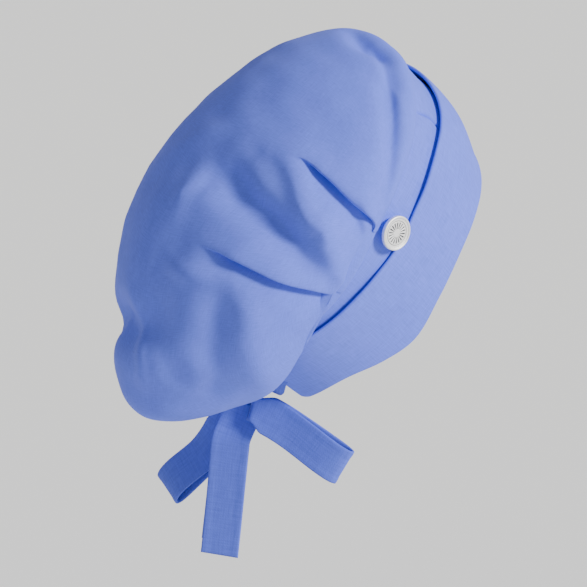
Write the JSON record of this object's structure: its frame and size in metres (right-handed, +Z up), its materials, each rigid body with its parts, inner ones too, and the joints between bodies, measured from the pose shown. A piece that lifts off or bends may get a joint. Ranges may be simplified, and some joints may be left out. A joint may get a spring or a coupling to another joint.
{
  "type": "tie-back bouffant surgical cap with a turned-up cuff",
  "caption": "Woven-cloth surgical cap as worn: pleated hollow crown that hangs over at the rear, deep turned-up cuff, metal side button and a ribbon bow at the nape.",
  "frame": {"origin": "centre of the oval that the cuff's upper edge makes round the head", "axes": "+Z up, the cap faces -Y, the wearer's right side is at -X; the band's oval is pitched 44 degrees, front high"},
  "size_m": [0.1763, 0.2385, 0.307],
  "materials": {
    "crown_cloth": "plain-woven cotton blend, matt, periwinkle blue",
    "band_cloth": "plain-woven cotton blend, matt, periwinkle blue",
    "cuff_cloth": "plain-woven cotton blend, two layers, pressed smooth",
    "tie_cloth": "plain-woven cotton blend strip, stitched flat",
    "button_metal": "nickel-plated, satin, raised rim"
  },
  "bodies": {
    "root": {"crown": "crown_cloth", "inner_band": "band_cloth", "cuff": "cuff_cloth", "button": "button_metal", "tie_knot": "tie_cloth", "nape_strap_right": "tie_cloth", "nape_strap_left": "tie_cloth", "tie_loop_right": "tie_cloth", "tie_loop_left": "tie_cloth", "tie_tail_front": "tie_cloth", "tie_tail_rear": "tie_cloth"}
  },
  "joints": []
}
